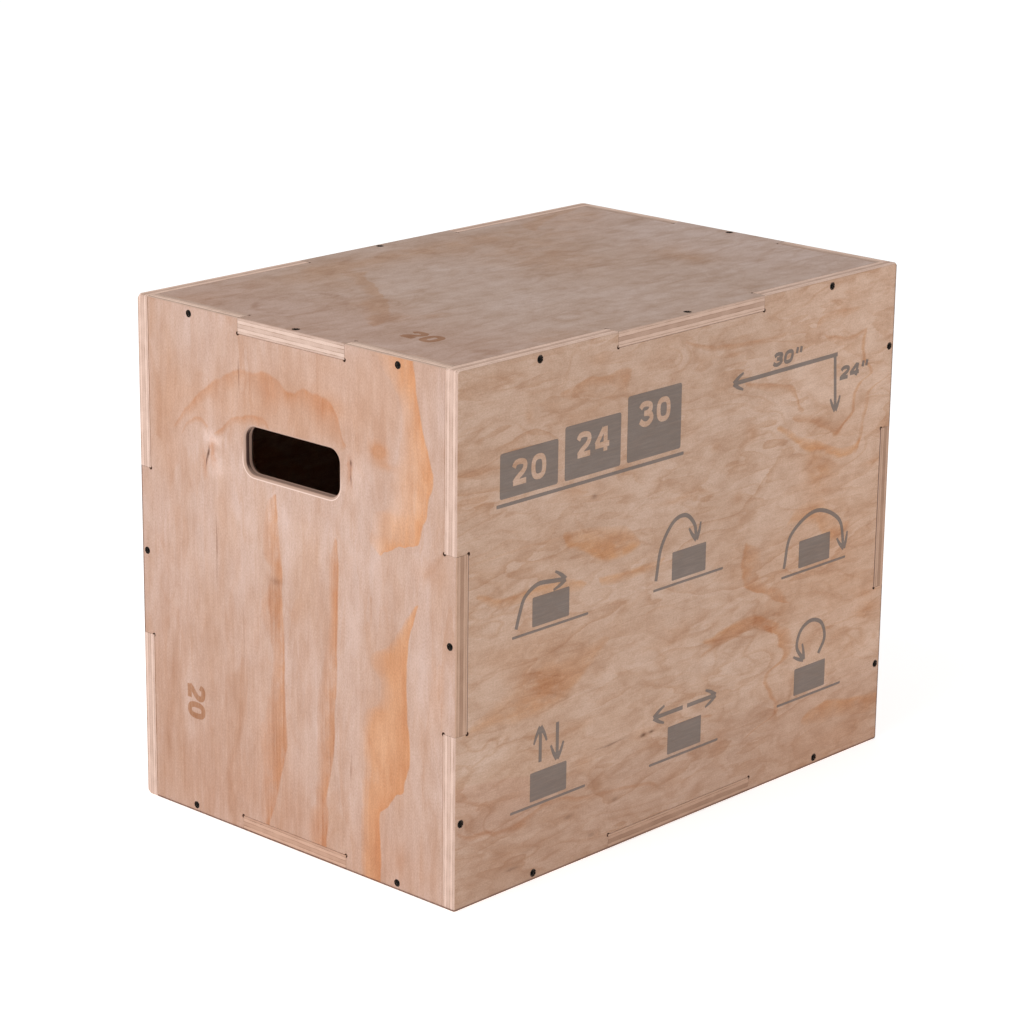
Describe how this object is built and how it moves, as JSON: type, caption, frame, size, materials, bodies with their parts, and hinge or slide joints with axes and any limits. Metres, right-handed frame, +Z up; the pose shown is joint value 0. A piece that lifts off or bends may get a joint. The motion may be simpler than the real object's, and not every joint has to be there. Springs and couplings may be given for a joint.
{
  "type": "plyo box",
  "caption": "Rectangular plywood jump box with finger-jointed panels, sunk screws, rounded hand slots in both ends and an inner brace, used on any of its faces.",
  "frame": {"origin": "on the floor, under the middle of the box", "axes": "+X along the 762 mm length towards the right end, +Y from the printed front to the back, +Z up"},
  "size_m": [0.762, 0.508, 0.6096],
  "materials": {
    "plywood": "clear-sealed veneer plywood, satin",
    "screw": "black oxide, satin",
    "print_ink": "grey-brown ink printed on the veneer, matt",
    "burnt_mark": "numbers burnt into the veneer, matt"
  },
  "bodies": {
    "root": {"front_panel": "plywood", "back_panel": "plywood", "left_end_panel": "plywood", "right_end_panel": "plywood", "top_panel": "plywood", "bottom_panel": "plywood", "centre_brace": "plywood", "back_bottom_screws": "screw", "back_left_screws": "screw", "back_right_screws": "screw", "back_top_screws": "screw", "bottom_back_screw": "screw", "bottom_front_screw": "screw", "bottom_left_screw": "screw", "bottom_right_screw": "screw", "front_bottom_screws": "screw", "front_left_screw": "screw", "front_right_screws": "screw", "front_top_screws": "screw", "left_back_screw": "screw", "left_bottom_screws": "screw", "left_front_screw": "screw", "left_top_screws": "screw", "right_back_screw": "screw", "right_bottom_screws": "screw", "right_front_screw": "screw", "right_top_screws": "screw", "top_back_screw": "screw", "top_front_screw": "screw", "top_left_screw": "screw", "top_right_screw": "screw"}
  },
  "joints": []
}
